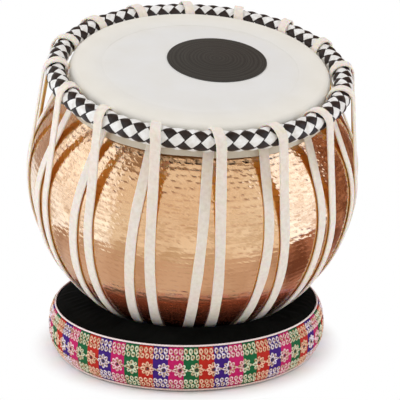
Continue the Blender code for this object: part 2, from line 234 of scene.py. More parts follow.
view = {
    "azimuth": math.radians(-14.75),
    "elevation": math.radians(16.26),
    "distance": 1.4248,
    "lens": 141.5,
    "target": Vector((0.0060, 0.0024, 0.1337)),
}
room = {
    "floorSize": 30.0,
    "boardLight": "#FDFDFC",
    "boardDark": "#F8F8F7",
    "boardMottle": 1 / 3,
    "burnOut": (0.120, 0.146),
    "skyStrength": 0.62,
    "skyFill": (1.0, 0.965, 0.90),
    "lampColour": (0.92, 1.0, 1.14),
    "lamps": [
        # name, bearing and height in degrees, distance, width, height of the box, power
        ("leftSoftbox", 178.0, 27.0, 1.65, 1.55, 1.70, 11.6),
        ("rightSoftbox", 330.0, 27.0, 1.65, 1.00, 1.60, 7.0),
        ("topSoftbox", 270.0, 80.0, 2.00, 1.60, 1.60, 6.6),
    ],
    "walls": [
        # name, bearing, distance, width, height, glow, the two colours that it is mottled in
        ("frontWall", 261.0, 2.20, 6.40, 1.95, 1.06, "#FFFDF8", "#D3C0AB"),
        ("leftWall", 178.0, 1.60, 1.62, 1.90, 2.15, "#E1EFFF", "#92857F"),
        ("rightWall", 330.0, 1.60, 1.04, 1.80, 2.60, "#D2E6FF", "#988D90"),
        ("brownWall", 32.0, 0.95, 1.80, 1.60, 1.0, "#6E4230", "#B98466"),
        ("backWall", 125.0, 1.20, 0.90, 1.20, 1.0, "#C9B2A6", "#B09A90"),
    ],
    # height, width, glow, two colours
    "ceiling": (2.65, 9.0, 1.0, "#AE9782", "#8E7762"),
    "mats": [
        # name, corners, bearing, distance, half width and depth, height off the floor, glow, colours
        ("frontMat", 3, 261.0, 1.467, 3.63, 1.467, 0.0005, 1.0, "#FFFCF7", "#D2C1AE"),
        ("leftMat", 3, 178.0, 1.467, 1.295, 1.467, 0.0008, 1.85, "#E1EFFF", "#A1948F"),
        ("rightMat", 3, 330.0, 1.467, 0.826, 1.467, 0.0008, 2.30, "#D2E6FF", "#A3999B"),
        ("brownMat", 3, 32.0, 0.667, 1.077, 0.667, 0.0010, 1.0, "#6E4230", "#B98466"),
        # painted shadow, only seen in the copper: nearMat is the drum's shadow on the floor close round it,
        # warmed as painted copper light, and shadeMat the drum's shadow on the floor at its right
        ("nearMat", 96, 255.25, 0.0, 0.35, 0.23, 0.0015, 1.0, "#D9C3B6", "#B79A88"),
        ("shadeMat", 48, 0.5, 0.228, 0.20, 0.13, 0.0020, 1.0, "#B07C68", "#6E4232"),
    ],
    # size in metres of the mottles on the walls, the mats and the ceiling, and how sharp they are
    "mottle": 0.13,
    "mottleEdge": (0.44, 0.62),
    "lampsRound": Vector((0.0, 0.0, 0.15)),
}


def pointAt(obj, target):
    obj.rotation_euler = (Vector(target) - obj.location).to_track_quat("-Z", "Y").to_euler()


def setCamera():
    back = Vector((
        math.sin(view["azimuth"]) * math.cos(view["elevation"]),
        -math.cos(view["azimuth"]) * math.cos(view["elevation"]),
        math.sin(view["elevation"]),
    ))
    bpy.ops.object.camera_add(location=view["target"] + back * view["distance"])
    camera = bpy.context.object
    camera.data.lens = view["lens"]
    camera.data.sensor_width = 36.0
    camera.data.clip_end = 100.0
    pointAt(camera, view["target"])
    bpy.context.scene.camera = camera


def bearingPlace(bearing, height, distance):
    bearing = math.radians(bearing)
    height = math.radians(height)
    return Vector((math.cos(bearing) * math.cos(height), math.sin(bearing) * math.cos(height),
                   math.sin(height))) * distance


def seenRays(holder):
    # 1 for what is seen straight on, in polished metal or through glass, and 0 for what only lights
    rays = addNode(holder, "LightPath").node.outputs
    seen = rays["Is Camera Ray"]
    for kind in ("Is Glossy Ray", "Is Transmission Ray"):
        seen = addNode(holder, "Math", {0: seen, 1: rays[kind]}, operation="MAXIMUM")
    return seen


def paintedBoard():
    # matt emulsion on board: white, with the faintest mottle; past the drum's soft shadow it burns
    # out to plain white, as under studio light
    mat = newMaterial("matt painted board", room["boardLight"], {"Roughness": 0.9})
    coords = addNode(mat, "TexCoord", out="Object")
    mottle = addNode(mat, "TexNoise", {"Vector": coords, "Scale": 1 / room["boardMottle"]})
    tone = addNode(mat, "Mix", {0: mottle, 6: room["boardDark"], 7: room["boardLight"]}, data_type="RGBA")
    toShader(mat, Base_Color=tone)
    reach = addNode(mat, "VectorMath", {0: coords, 1: bandMiddle * Vector((1, 1, 0))}, operation="DISTANCE")
    near, far = room["burnOut"]
    past = addNode(mat, "MapRange", {"Value": reach, "From Min": near, "From Max": far},
                   interpolation_type="SMOOTHSTEP")
    burnt = addNode(mat, "Math", {0: seenRays(mat), 1: past}, operation="MULTIPLY")
    white = addNode(mat, "Emission", {"Strength": 1.0})
    shader = mat.node_tree.nodes["Principled BSDF"]
    seen = addNode(mat, "MixShader", {0: burnt, 1: shader.outputs[0], 2: white})
    mat.node_tree.links.new(seen, mat.node_tree.nodes["Material Output"].inputs["Surface"])
    return mat


def stageCard(card, name, width, tall, glow, first, second):
    # a card that stands for the rest of the studio and only shows in the polished copper
    mat = newMaterial(name, "#000000", {"Specular IOR Level": 0.0, "Emission Strength": glow})
    coords = addNode(mat, "TexCoord", out="Object")
    mottle = addNode(mat, "TexNoise", {"Vector": coords, "Scale": 1 / room["mottle"], "Detail": 3.0})
    tone = addNode(mat, "ValToRGB", {"Fac": mottle}, stops=list(zip(room["mottleEdge"], (first, second))))
    toShader(mat, Emission_Color=tone)
    card.name = name
    card.scale = (width, tall, 1.0)
    bpy.ops.object.transform_apply(location=False, rotation=False, scale=True)
    card.data.materials.append(mat)
    card.visible_camera = False
    card.visible_diffuse = False
    card.visible_shadow = False


def setCards():
    for name, bearing, distance, width, tall, *looks in room["walls"]:
        dropSelection()
        place = bearingPlace(bearing, 0.0, distance) + Vector((0, 0, tall / 2))
        bpy.ops.mesh.primitive_plane_add(size=1.0, location=place)
        wall = bpy.context.object
        pointAt(wall, (0.0, 0.0, tall / 2))
        stageCard(wall, name, width, tall, *looks)
    for name, corners, bearing, distance, halfWidth, halfDepth, lift, *looks in room["mats"]:
        # each lies on the floor with its first corner towards the drum
        dropSelection()
        place = bearingPlace(bearing, 0.0, distance) + Vector((pivot.x, pivot.y, lift))
        bpy.ops.mesh.primitive_circle_add(vertices=corners, radius=1.0, fill_type="NGON", location=place,
                                          rotation=(0.0, 0.0, math.radians(bearing + 90.0)))
        stageCard(bpy.context.object, name, halfWidth, halfDepth, *looks)


def setCeiling():
    height, width, *looks = room["ceiling"]
    dropSelection()
    bpy.ops.mesh.primitive_plane_add(size=1.0, location=(0.0, 0.0, height))
    stageCard(bpy.context.object, "darkCeiling", width, width, *looks)


def setSky():
    world = bpy.data.worlds.new("softSky")
    world.use_nodes = True
    sky = world.node_tree.nodes["Background"]
    seen = seenRays(world)
    fill = [*room["skyFill"], 1.0]
    colour = addNode(world, "Mix", {0: seen, 6: fill, 7: "#FFFFFF"}, data_type="RGBA")
    level = addNode(world, "MapRange", {"Value": seen, "To Min": room["skyStrength"], "To Max": 1.0})
    world.node_tree.links.new(colour, sky.inputs["Color"])
    world.node_tree.links.new(level, sky.inputs["Strength"])
    bpy.context.scene.world = world


def setRoom():
    dropSelection()
    bpy.ops.mesh.primitive_plane_add(size=room["floorSize"])
    floor = bpy.context.object
    floor.name = "studioFloor"
    floor.data.materials.append(paintedBoard())
    for name, bearing, height, distance, boxWidth, boxHeight, power in room["lamps"]:
        place = room["lampsRound"] + bearingPlace(bearing, height, distance)
        bpy.ops.object.light_add(type="AREA", location=place)
        lamp = bpy.context.object
        lamp.name = name
        lamp.data.shape = "RECTANGLE"
        lamp.data.size = boxWidth
        lamp.data.size_y = boxHeight
        lamp.data.energy = power
        lamp.data.color = room["lampColour"]
        # the walls stand for the boxes in what the copper shows
        lamp.visible_camera = False
        lamp.visible_glossy = False
        pointAt(lamp, room["lampsRound"])
    setCards()
    setCeiling()
    setSky()
    bpy.context.scene.view_settings.view_transform = "Standard"
    print("room set")


# copper bowl

bowl = {
    "belly": 147.0 * mm,
    "shoulder": 118.0 * mm,
    "neck": 107.6 * mm,
    "lip": 109.8 * mm,
    "lipTop": 99.2 * mm,
    "lipDepth": 6.0 * mm,
    "lipRound": 2.8 * mm,
    "base": 130.0 * mm,
    "wall": 2.0 * mm,
    "segments": 432,
    "fineStart": 44.0,
    "fineStep": 1.35 * mm,
    "blowRow": 5.0 * mm,
    "blowWidth": 7.0 * mm,
    "blowDepth": 0.17 * mm,
    "blowStretch": 1.3,
    # places and force of the blows vary; the jitters are in rows and in blows
    "jitterAlong": 0.12,
    "jitterAround": 0.10,
    "force": (0.5, 1.25),
    # radius of a hollow in rows, and by what share the hollows grow deeper below a height
    "hollow": 0.60,
    "deeperFrom": -20.0 * mm,
    "deeperOver": 60.0 * mm,
    "deeper": 0.5,
    # distance and half width of a burr in rows, and where up the bowl the burrs grow strong; the burr is
    # raised by a bump and darkened as painted shade
    "burrReach": 0.48,
    "burrHalf": 0.20,
    "burrFrom": 5.0 * mm,
    "burrOver": 25.0 * mm,
    # heights off the floor between which the copper turns dull and brown, and then darker brown; the brown
    # is painted reflection of the dark cushion, and the darkening painted shade
    "dullAndShaded": (92.0 * mm, 76.0 * mm),
    "brown": (80.0 * mm, 62.0 * mm),
}


def baseAngle(offset=0.0):
    # angle in degrees, from straight down, of the rim of the flat base
    return math.degrees(math.acos((bowl["base"] + offset) / (bowl["belly"] + offset)))


def bellyPoint(angle, offset=0.0):
    # round underside, by the angle in degrees from straight down
    reach = bowl["belly"] + offset
    return reach * math.sin(math.radians(angle)), -reach * math.cos(math.radians(angle))


def shoulderNormal(angle):
    return Vector((bowl["shoulder"] * math.cos(angle), bowl["belly"] * math.sin(angle))).normalized()


def shoulderPoint(angle, offset=0.0):
    # elliptical shoulder above the belly, by its angle in radians
    normal = shoulderNormal(angle)
    return (bowl["belly"] * math.cos(angle) + offset * normal.x,
            bowl["shoulder"] * math.sin(angle) + offset * normal.y)


def hammerBlows(piece):
    # rows of shallow hollows, each row a little out of step, pressed in along the wall's normal
    points = readPoints(piece)
    radius, angle = reachAndAngle(points)
    angle %= math.tau
    height = points[:, 2]
    rise = np.where(height > 0, bowl["shoulder"], bowl["belly"])
    # only the outer face, from the base's rim up to the neck, is hammered
    outer = (radius / bowl["belly"]) ** 2 + (height / rise) ** 2 > 0.99
    outer &= height < shoulderPoint(math.acos(bowl["neck"] / bowl["belly"]))[1]
    outer &= height > -bowl["base"] + mm
    normal = np.stack([radius / bowl["belly"] ** 2, height / rise ** 2], axis=1)
    normal /= np.linalg.norm(normal, axis=1)[:, None]
    # distance up the wall from the pole of the underside
    samples = np.linspace(-math.pi / 2, math.pi / 2, 2000)
    sampleRise = np.where(samples > 0, bowl["shoulder"], bowl["belly"])
    pace = np.hypot(np.sin(samples) * bowl["belly"], np.cos(samples) * sampleRise)
    travelled = np.concatenate([[0.0], np.cumsum((pace[1:] + pace[:-1]) / 2 * np.diff(samples))])
    along = np.interp(np.arctan2(height / rise, radius / bowl["belly"]), samples, travelled)
    rowGap = bowl["blowRow"]
    rowCount = int(travelled[-1] / rowGap) + 3
    rowRadius = bowl["belly"] * np.cos(np.interp(np.arange(rowCount) * rowGap, travelled, samples))
    perRow = np.maximum(3, np.round(math.tau * rowRadius / bowl["blowWidth"])).astype(int)
    blows = (rowCount, perRow.max())
    slip = chance.uniform(0, 1, rowCount)
    jitterAlong = chance.normal(0, bowl["jitterAlong"], blows) * rowGap
    jitterAround = chance.normal(0, bowl["jitterAround"], blows)
    force = chance.uniform(*bowl["force"], blows)
    # the blow nearest to each point, and how the point lies from its middle
    nearest = np.full(len(points), 1.0)
    strength = np.ones(len(points))
    below = np.zeros(len(points))
    beside = np.zeros(len(points))
    homeRow = np.round(along / rowGap).astype(int)
    for rowStep in (-1, 0, 1):
        row = np.clip(homeRow + rowStep, 0, rowCount - 1)
        share = angle / math.tau * perRow[row] - slip[row]
        for columnStep in (-1, 0, 1):
            column = np.round(share).astype(int) + columnStep
            index = column % perRow[row]
            gapAround = (share - column - jitterAround[row, index]) * math.tau * radius / perRow[row]
            gapAlong = along - row * rowGap - jitterAlong[row, index]
            distance = np.hypot(gapAround / bowl["blowStretch"], gapAlong)
            closer = distance < nearest
            nearest = np.where(closer, distance, nearest)
            strength = np.where(closer, force[row, index], strength)
            below = np.where(closer, -gapAlong, below)
            beside = np.where(closer, gapAround, beside)
    hollow = np.clip(1.0 - (nearest / (bowl["hollow"] * rowGap)) ** 2, 0.0, 1.0)
    deeper = 1.0 + bowl["deeper"] * np.clip((bowl["deeperFrom"] - height) / bowl["deeperOver"], 0.0, 1.0)
    sink = bowl["blowDepth"] * strength * deeper * hollow * outer
    points -= polar(sink * normal[:, 0], angle, sink * normal[:, 1])
    writePoints(piece, points)
    # a blow leaves a curved burr at its lower edge: a bump raises it, and its colour is darkened as painted
    # shade on the wall of the hollow that faces down
    lip = np.clip(1.0 - ((nearest / rowGap - bowl["burrReach"]) / bowl["burrHalf"]) ** 2, 0, 1)
    lip *= np.clip(below / (0.25 * rowGap), 0, 1)
    lip *= np.clip(1.3 - 1.2 * (beside / (0.5 * bowl["blowWidth"])) ** 2, 0, 1)
    lip *= 0.5 + 0.5 * np.clip((height - bowl["burrFrom"]) / bowl["burrOver"], 0, 1)
    burrAndShade = piece.data.attributes.new("burrAndShade", "FLOAT", "POINT")
    burrAndShade.data.foreach_set("value", lip * strength * outer)


def hammeredCopper():
    # sheet copper planished by hammer and lacquered: a warm mirror broken by small hollows, with a burr at
    # each that is darkened as painted shade, and duller on the underside, where the drum is set down; the
    # brown there, darker further down, is painted reflection of the dark cushion and painted shade
    mat = newMaterial("hammered lacquered copper", "#E7C095", {
        "Metallic": 1.0, "Roughness": 0.12, "Coat Weight": 1.0, "Coat Roughness": 0.05,
    })
    coords = drumCoords(mat)
    patches = addNode(mat, "TexNoise", {"Vector": coords, "Scale": 1 / (38 * mm), "Detail": 3.0})
    tone = addNode(mat, "ValToRGB", {"Fac": patches}, stops=[(0.32, "#E4B98D"), (0.68, "#EDC9A0")])
    burrAndShade = addNode(mat, "Attribute", attribute_name="burrAndShade", out="Fac")
    # painted shade: the burr darkens the colour on the lower wall of each hollow
    dark = addNode(mat, "MapRange", {"Value": burrAndShade, "From Min": 0.10, "From Max": 0.90, "To Max": 0.38})
    tone = addNode(mat, "Mix", {0: dark, 6: tone, 7: "#A8613A"}, data_type="RGBA")
    wear = addNode(mat, "TexNoise", {"Vector": coords, "Scale": 1 / (6 * mm), "Detail": 4.0})
    gloss = addNode(mat, "MapRange", {"Value": wear, "To Min": 0.08, "To Max": 0.17})
    # by the height above the floor
    height = addNode(mat, "SeparateXYZ", {"Vector": addNode(mat, "TexCoord", out="Object")}, out="Z")
    (dullTop, dullBottom), (brownTop, brownBottom) = bowl["dullAndShaded"], bowl["brown"]
    # below these heights the copper turns dull, and its colour turns brown as painted reflection of the
    # dark cushion
    dullAndShaded = addNode(mat, "MapRange", {"Value": height, "From Min": dullTop, "From Max": dullBottom},
                   interpolation_type="SMOOTHSTEP")
    # painted shade: the brown grows darker towards the bottom
    low = addNode(mat, "MapRange", {"Value": height, "From Min": brownTop, "From Max": brownBottom})
    shadedBrown = addNode(mat, "Mix", {0: low, 6: "#C4603A", 7: "#7C3D28"}, data_type="RGBA")
    tone = addNode(mat, "Mix", {0: dullAndShaded, 6: tone, 7: shadedBrown}, data_type="RGBA")
    gloss = addNode(mat, "Math", {0: dullAndShaded, 1: 0.14, 2: gloss}, operation="MULTIPLY_ADD")
    metal = addNode(mat, "Math", {0: dullAndShaded, 1: -0.42, 2: 1.0}, operation="MULTIPLY_ADD")
    grit = addNode(mat, "TexNoise", {"Vector": coords, "Scale": 1 / (1.6 * mm), "Detail": 2.0})
    edge = addNode(mat, "Bump", {"Height": burrAndShade, "Strength": 1.0, "Distance": 0.25 * mm})
    bump = addNode(mat, "Bump", {"Height": grit, "Strength": 0.12, "Distance": 0.12 * mm, "Normal": edge})
    toShader(mat, Base_Color=tone, Roughness=gloss, Metallic=metal, Normal=bump)
    return mat


def makeBowl():
    neckAngle = math.acos(bowl["neck"] / bowl["belly"])
    outline = [(0.0, -bowl["base"])]
    outline += [bellyPoint(a) for a in np.linspace(baseAngle(), bowl["fineStart"], 8)[:-1]]
    fineCount = round(math.radians(90 - bowl["fineStart"]) * bowl["belly"] / bowl["fineStep"])
    outline += [bellyPoint(a) for a in np.linspace(bowl["fineStart"], 90, fineCount)]
    neckCount = round(neckAngle * (bowl["belly"] + bowl["shoulder"]) / 2 / bowl["fineStep"])
    outline += [shoulderPoint(a) for a in np.linspace(0.0, neckAngle, neckCount)[1:]]
    outline += [(bowl["neck"], bowl["lipTop"] - bowl["lipDepth"])]
    # the lip is rolled round from below its outside to its inside
    for turn in np.radians(np.linspace(-60, 200, 10)):
        out = Vector((math.cos(turn), math.sin(turn))) * bowl["lipRound"]
        outline.append((bowl["lip"] - bowl["lipRound"] + out.x, bowl["lipTop"] - bowl["lipRound"] + out.y))
    outline += [(bowl["neck"] - bowl["wall"], shoulderPoint(neckAngle)[1])]
    outline += [shoulderPoint(a, -bowl["wall"]) for a in np.linspace(neckAngle, 0.0, 9)[:-1]]
    innerBase = baseAngle(-bowl["wall"])
    outline += [bellyPoint(a, -bowl["wall"]) for a in np.linspace(90, innerBase, 12)]
    outline.append((0.0, bowl["wall"] - bowl["base"]))
    piece = turnedPiece("hammeredBowl", outline, bowl["segments"])
    hammerBlows(piece)
    finishPiece(piece, hammeredCopper(), drumPlace, "drum", ["copper_bowl"])
    print("bowl made, triangles", 2 * len(piece.data.polygons))


# skins and tuning spot

skins = {
    "head": 101.6 * mm,
    "thickness": 0.9 * mm,
    "gap": 0.3 * mm,
    "layer": 1.2 * mm,
    "bend": 16.0 * mm,
    "flare": math.radians(22.0),
    "skive": 9.0 * mm,
    "segments": 256,
    "bhartiInner": 89.8 * mm,
    "bhartiHem": 82.6 * mm,
    "headHem": 79.1 * mm,
    "kinarInner": 85.8 * mm,
    "kinarHem": 75.6 * mm,
    # how far the cut edges wander, and over what distance the wander dies out
    "innerWander": 0.3 * mm,
    "innerFade": 4.0 * mm,
    "hemWander": 0.9 * mm,
    "hemFade": 8.0 * mm,
    # creamier between these two radii, and darker between these two heights
    "rimTint": (70.0 * mm, 108.0 * mm),
    "hemTint": (98.0 * mm, 84.0 * mm),
}
spot = {
    "radius": 44.0 * mm,
    "place": (17.8 * mm, 11.2 * mm, 0.0),
    "layers": 7,
    "height": 1.6 * mm,
    "segments": 160,
    # each layer is smaller than the one below by this share, and has a small worn edge
    "step": 0.11,
    "swell": 0.7,
    "edgeDrop": 0.1 * mm,
    "edgeWidth": 0.9 * mm,
    # the rubbed rounds, and the slow drift of their spacing
    "rounds": 3.1 * mm,
    "drift": 7.0 * mm,
    "cracks": 1.5 * mm,
}


def skinFace(offset, innerRadius, hem):
    # one face of a skin, this far off the copper: flat, round over the lip, straight, then splayed
    middle = bowl["lip"] - bowl["lipRound"]
    lift = bowl["lipTop"] - bowl["lipRound"]
    reach = bowl["lipRound"] + offset
    face = [(innerRadius, lift + reach)]
    for turn in np.radians(np.linspace(90, 0, 9)):
        face.append((middle + reach * math.cos(turn), lift + reach * math.sin(turn)))
    bend = skins["head"] - skins["bend"] + offset * math.tan(skins["flare"] / 2)
    for height in np.linspace(bend, hem, 5):
        face.append((middle + reach + (bend - height) * math.tan(skins["flare"]), height))
    return face


def skinOutline(level, innerRadius, hem):
    # level 0 lies on the copper, and the others on the one below
    inside = skins["gap"] + level * skins["layer"]
    over = skinFace(inside + skins["thickness"], innerRadius, hem)
    under = skinFace(inside, innerRadius, hem)
    if innerRadius > 0:
        # a ring's inner edge is skived thin, so that it hardly shows on the skin below
        flat = over[0][1]
        floor = under[0][1] - skins["gap"] + 0.05 * mm
        over = [(innerRadius, floor + 0.12 * mm), (innerRadius + skins["skive"], flat)] + over[1:]
        under = [(innerRadius, floor), (innerRadius + skins["skive"], under[0][1])] + under[1:]
    outline = over + under[::-1]
    if innerRadius > 0:
        outline.append(outline[0])
    return outline


def uneven(piece, radius, hem):
    # hand cut edges: the inner edge and the hem wander a little
    points = readPoints(piece)
    reach, angle = reachAndAngle(points)
    wander = np.sin(3 * angle + 1) + 0.6 * np.sin(7 * angle + 2) + 0.4 * np.sin(16 * angle)
    nearInner = np.clip(1 - (reach - radius) / skins["innerFade"], 0, 1) * (radius > 0)
    nearHem = np.clip(1 - (points[:, 2] - hem) / skins["hemFade"], 0, 1)
    points += polar(skins["innerWander"] * wander * nearInner, angle, skins["hemWander"] * wander * nearHem)
    writePoints(piece, points)


def fromMiddle(mat, coords):
    # distance from the middle line of what the coordinates are centred on
    flat = addNode(mat, "VectorMath", {0: coords, 1: (1.0, 1.0, 0.0)}, operation="MULTIPLY")
    return addNode(mat, "VectorMath", {0: flat}, operation="LENGTH")


def goatskin(name, middle, rim, hem):
    # scraped goatskin: pale, slightly cloudy, creamier at the rim and darker towards the hem below the lip
    mat = newMaterial(name, middle, {"Roughness": 0.5, "Specular IOR Level": 0.35})
    coords = drumCoords(mat)
    (rimStart, rimEnd), (hemStart, hemEnd) = skins["rimTint"], skins["hemTint"]
    edge = addNode(mat, "MapRange", {
        "Value": fromMiddle(mat, coords), "From Min": rimStart, "From Max": rimEnd,
    }, interpolation_type="SMOOTHSTEP")
    tone = addNode(mat, "Mix", {0: edge, 6: middle, 7: rim}, data_type="RGBA")
    height = addNode(mat, "SeparateXYZ", {"Vector": coords}, out="Z")
    skirt = addNode(mat, "MapRange", {"Value": height, "From Min": hemStart, "From Max": hemEnd})
    tone = addNode(mat, "Mix", {0: skirt, 6: tone, 7: hem}, data_type="RGBA")
    cloud = addNode(mat, "TexNoise", {"Vector": coords, "Scale": 1 / (26 * mm), "Detail": 5.0})
    stain = addNode(mat, "MapRange", {"Value": cloud, "From Min": 0.35, "From Max": 0.7, "To Max": 0.22})
    tone = addNode(mat, "Mix", {0: stain, 6: tone, 7: "#DCD5C6"}, data_type="RGBA")
    pores = addNode(mat, "TexNoise", {"Vector": coords, "Scale": 1 / (0.9 * mm), "Detail": 2.0})
    bump = addNode(mat, "Bump", {"Height": pores, "Strength": 0.15, "Distance": 0.1 * mm})
    toShader(mat, Base_Color=tone, Normal=bump)
    return mat


def syahiPaste():
    # iron dust paste rubbed on in rounds with a stone: dull charcoal, fine cracks, faint rings
    mat = newMaterial("rubbed iron paste", "#2E2F2C", {"Roughness": 0.55, "Specular IOR Level": 0.3})
    coords = drumCoords(mat, spot["place"])
    reach = fromMiddle(mat, coords)
    # the rounds drift apart and together: a slow 1-D noise is added to their phase
    slow = addNode(mat, "Math", {0: reach, 1: 1 / spot["drift"]}, operation="MULTIPLY")
    drift = addNode(mat, "TexNoise", {"W": slow, "Scale": 1.0}, noise_dimensions="1D")
    rounds = addNode(mat, "Math", {0: reach, 1: math.tau / spot["rounds"]}, operation="MULTIPLY")
    rounds = addNode(mat, "Math", {0: drift, 1: 14.0, 2: rounds}, operation="MULTIPLY_ADD")
    rings = addNode(mat, "Math", {0: rounds}, operation="SINE")
    tone = addNode(mat, "MapRange", {"Value": rings, "From Min": -1.0, "From Max": 1.0})
    colour = addNode(mat, "Mix", {0: tone, 6: "#30302D", 7: "#403F3B"}, data_type="RGBA")
    cracks = addNode(mat, "TexVoronoi", {"Vector": coords, "Scale": 1 / spot["cracks"]},
                     feature="DISTANCE_TO_EDGE")
    lines = addNode(mat, "MapRange", {"Value": cracks, "From Max": 0.08})
    heights = addNode(mat, "Math", {0: rings, 1: 0.35, 2: lines}, operation="MULTIPLY_ADD")
    bump = addNode(mat, "Bump", {"Height": heights, "Strength": 0.35, "Distance": 0.12 * mm})
    toShader(mat, Base_Color=colour, Normal=bump)
    return mat


def makeSkins():
    hide = goatskin("scraped goatskin", "#E6E4E1", "#ECE7DD", "#DDD1BC")
    for name, level, inner, hem, node in (
        ("bhartiRing", 0, skins["bhartiInner"], skins["bhartiHem"], "bharti_under_ring"),
        ("headSkin", 1, 0.0, skins["headHem"], "head_skin"),
        ("kinarRing", 2, skins["kinarInner"], skins["kinarHem"], "kinar_upper_ring"),
    ):
        piece = turnedPiece(name, skinOutline(level, inner, hem), skins["segments"])
        uneven(piece, inner, hem)
        finishPiece(piece, hide, drumPlace, "drum", [node])
    bottom = skins["head"] + skins["gap"]
    outline = [(0.0, bottom), (spot["radius"], bottom)]
    for layer in range(spot["layers"]):
        reach = spot["radius"] * (1 - spot["step"] * layer)
        top = bottom + spot["height"] * ((layer + 1) / spot["layers"]) ** spot["swell"]
        outline += [(reach - spot["edgeDrop"], top - spot["edgeDrop"]), (reach - spot["edgeWidth"], top)]
    outline.append((0.0, top))
    piece = turnedPiece("syahiSpot", outline, spot["segments"])
    place = drumPlace @ Matrix.Translation(spot["place"])
    finishPiece(piece, syahiPaste(), place, "drum", ["syahi_spot"])
    print("skins made")


# plaited hoop

plait = {
    "hoopRadius": 125.2 * mm,
    "hoopHeight": 96.1 * mm,
    "pitches": 64,
    "rows": 8,
    "turn": math.radians(20.0),
    "middle": 7.8 * mm,
    "wave": 0.9 * mm,
    "halfWidth": 0.44,
    "leather": 0.4 * mm,
    "steps": 7,
    # the width of a thong varies by this share, in waves of these counts round the hoop
    "wander": 0.03,
    "waves": (17, 29, 43),
    # thickness, strands, pitch and columns of the rope core
    "core": (9.6 * mm, 3, 24 * mm, 480),
}


def plaitPlace(crossA, crossB, side):
    # crossA and crossB count the thongs of each hand; side lifts one hand where the other dips
    around = math.tau * (crossB - crossA) / (2 * plait["pitches"])
    turn = math.tau * (crossA + crossB) / plait["rows"] + plait["turn"]
    reach = plait["middle"] + side * plait["wave"] * np.cos(math.pi * crossA) * np.cos(math.pi * crossB)
    radius = plait["hoopRadius"] + reach * np.cos(turn)
    return polar(radius, around, plait["hoopHeight"] + reach * np.sin(turn))


def makeThong(name, white, strand, mat, node):
    crossings = 2 * plait["pitches"]
    drift = chance.uniform(0, math.tau, len(plait["waves"]))

    def shape(u, v):
        along = u * crossings
        wander = sum(np.sin(math.tau * u * count + phase) for count, phase in zip(plait["waves"], drift))
        across = (v - 0.5) * 2 * plait["halfWidth"] * (1 + plait["wander"] * wander)
        if white:
            return plaitPlace(strand + across, strand + along, 1)
        return plaitPlace(-strand - along, across - strand, -1)

    piece = gridPiece(name, crossings * plait["steps"], 7, shape)
    thicken(piece, plait["leather"], 0.0)
    finishPiece(piece, mat, drumPlace, "drum", [node], sharp=60)


def thongLeather(name, colour, dark, roughness):
    # thin dressed hide cut in strips: smooth grain side, faint creases, soiled a little in cloudy patches
    mat = newMaterial(name, colour, {"Roughness": roughness, "Specular IOR Level": 0.35})
    coords = drumCoords(mat)
    cloud = addNode(mat, "TexNoise", {"Vector": coords, "Scale": 1 / (5 * mm), "Detail": 4.0})
    tone = addNode(mat, "ValToRGB", {"Fac": cloud}, stops=[(0.3, dark), (0.6, colour)])
    grain = addNode(mat, "TexVoronoi", {"Vector": coords, "Scale": 1 / (0.7 * mm)})
    bump = addNode(mat, "Bump", {"Height": grain, "Strength": 0.2, "Distance": 0.08 * mm})
    toShader(mat, Base_Color=tone, Normal=bump)
    return mat


def ropeFibre(name, colour, dark, size):
    # vegetable fibre: dull, streaky
    mat = newMaterial(name, colour, {"Roughness": 0.85})
    coords = addNode(mat, "TexCoord", out="Object")
    fibre = addNode(mat, "TexNoise", {"Vector": coords, "Scale": 1 / size, "Detail": 6.0})
    tone = addNode(mat, "ValToRGB", {"Fac": fibre}, stops=[(0.35, dark), (0.65, colour)])
    bump = addNode(mat, "Bump", {"Height": fibre, "Strength": 0.4, "Distance": 0.2 * mm})
    toShader(mat, Base_Color=tone, Normal=bump)
    return mat


def makePlait():
    white = thongLeather("white rawhide thong", "#F1EFEC", "#DFDAD3", 0.5)
    black = thongLeather("black dressed thong", "#2E2320", "#1A1311", 0.45)
    for strand in range(plait["rows"] // 2):
        count = strand + 1
        makeThong(f"whiteThong{count}", True, strand, white, f"gajra_white_thong_{count}")
        makeThong(f"blackThong{count}", False, strand, black, f"gajra_black_thong_{count}")
    core = twistedRing("plaitCore", plait["hoopRadius"], plait["hoopHeight"], *plait["core"])
    jute = ropeFibre("jute rope", "#6B5A41", "#3E3323", 1.2 * mm)
    finishPiece(core, jute, drumPlace, "drum", ["gajra_core_hoop"], sharp=80)
    print("plait made")


# the one strap

strap = {
    "holes": 16,
    "firstHole": 13.8,
    "width": 8.8 * mm,
    "endWidth": 6.0 * mm,
    "thickness": 1.7 * mm,
    "offset": 1.2 * mm,
    "hoopWrap": 10.6 * mm,
    "spreadTop": 3.5,
    "step": 3.2 * mm,
    "corner": 0.45 * mm,
    "taper": 20.0 * mm,
    # the width varies by this share, in waves of these counts along the whole strap
    "wander": 0.022,
    "waves": (90, 143, 211),
    # size of a streak along the strap, and streaks across its width
    "streakLength": 3.5 * mm,
    "streaksAcross": 9.0,
    # faces that lean to the bowl more than this, down to this depth, get painted light: the warm light that
    # the copper throws on them
    "insideSlope": 0.4,
    "insideDepth": 70.0 * mm,
}
kundal = {
    "radius": 46.0 * mm,
    "depth": 135.9 * mm,
    "wrap": 4.7 * mm,
    # thickness, strands, pitch and columns
    "cord": (6.0 * mm, 3, 14 * mm, 240),
}


def tautLean(side):
    # slope of the straight run that touches the hoop (side 1 outside, -1 inside) and the shoulder
    low, high = 0.0, math.pi / 2
    for _ in range(50):
        slope = (low + high) / 2
        hoop = plait["hoopRadius"] * math.cos(slope) + plait["hoopHeight"] * math.sin(slope)
        hoop += side * strap["hoopWrap"]
        shell = math.hypot(bowl["belly"] * math.cos(slope), bowl["shoulder"] * math.sin(slope))
        low, high = (slope, high) if hoop < shell + strap["offset"] else (low, slope)
    return slope


